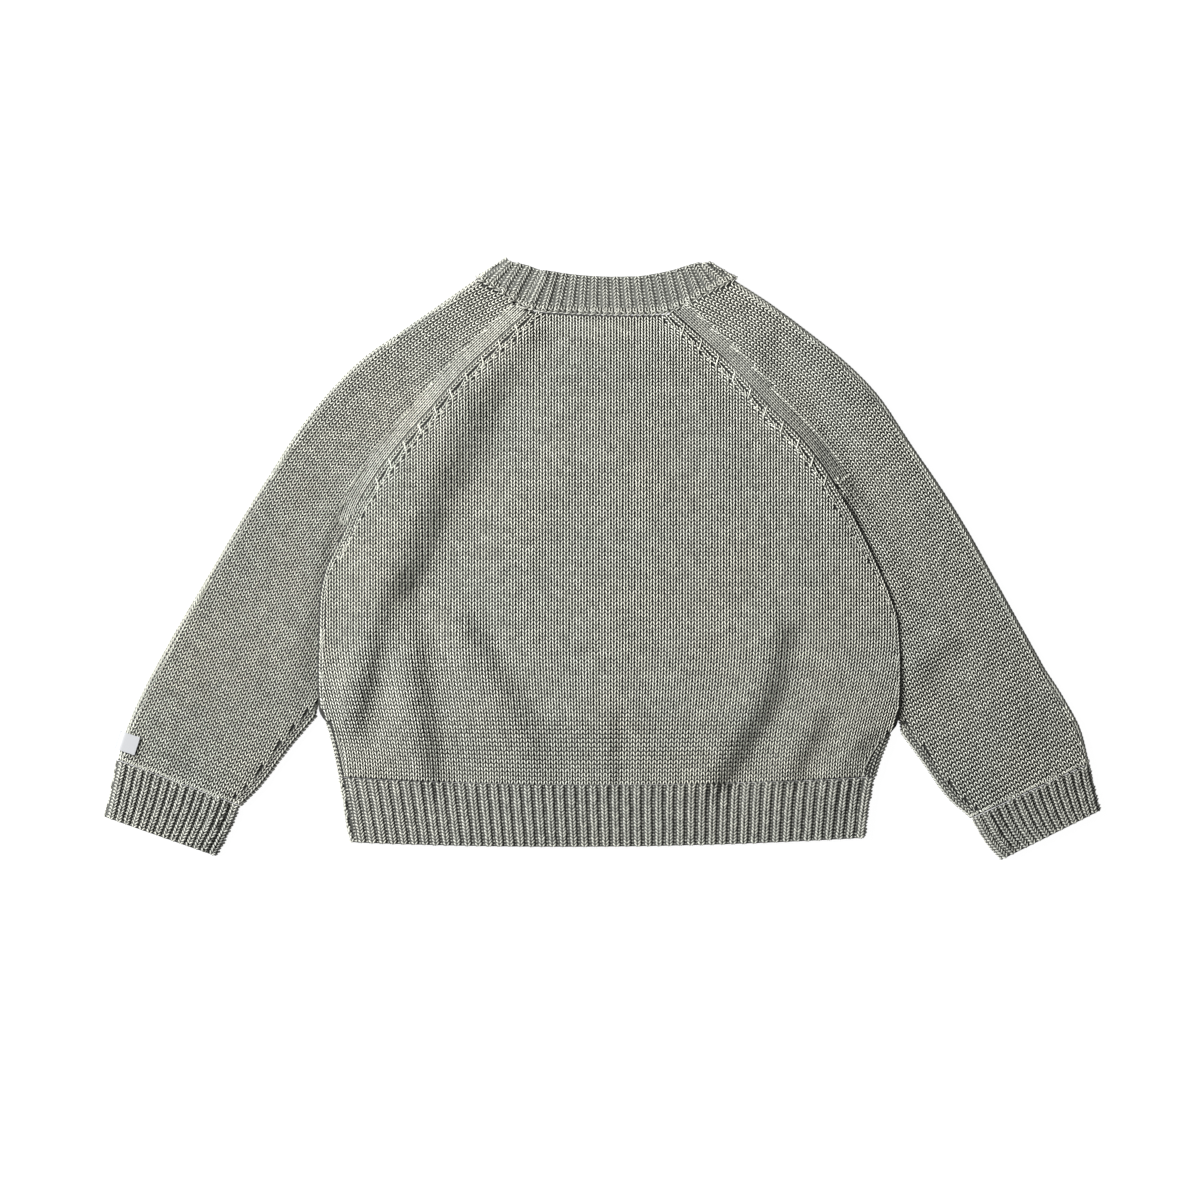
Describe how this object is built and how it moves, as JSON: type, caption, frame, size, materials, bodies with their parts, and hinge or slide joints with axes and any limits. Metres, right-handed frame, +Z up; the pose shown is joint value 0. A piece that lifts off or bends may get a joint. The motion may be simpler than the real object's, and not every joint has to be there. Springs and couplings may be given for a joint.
{
  "type": "baby's knitted raglan sweater, laid flat with its back up",
  "caption": "Long-sleeved knitted pullover for a baby, with raglan sleeves and ribbed neckband, cuffs and hem, laid out flat with its back upwards.",
  "frame": {"origin": "centre of the box of the laid-out sweater, on the surface it lies on", "axes": "+X across the sweater from the labelled sleeve to the other, +Y from the hem to the neck, +Z up, from the front, which lies on the surface, to the back"},
  "size_m": [0.5278, 0.3196, 0.0079],
  "materials": {
    "plain_knit": "matt grey-oatmeal cotton yarn in plain knit, right side out",
    "ribbed_knit": "the same yarn in one-by-one rib, a little darker because its furrows are in shade",
    "woven_tape": "bare white woven tape with a slight sheen"
  },
  "bodies": {
    "root": {"front_panel": "plain_knit", "back_panel": "plain_knit", "front_hem_rib": "ribbed_knit", "back_hem_rib": "ribbed_knit", "left_sleeve": "plain_knit", "right_sleeve": "plain_knit", "left_cuff": "ribbed_knit", "right_cuff": "ribbed_knit", "neckband": "ribbed_knit", "sleeve_label": "woven_tape"}
  },
  "joints": []
}
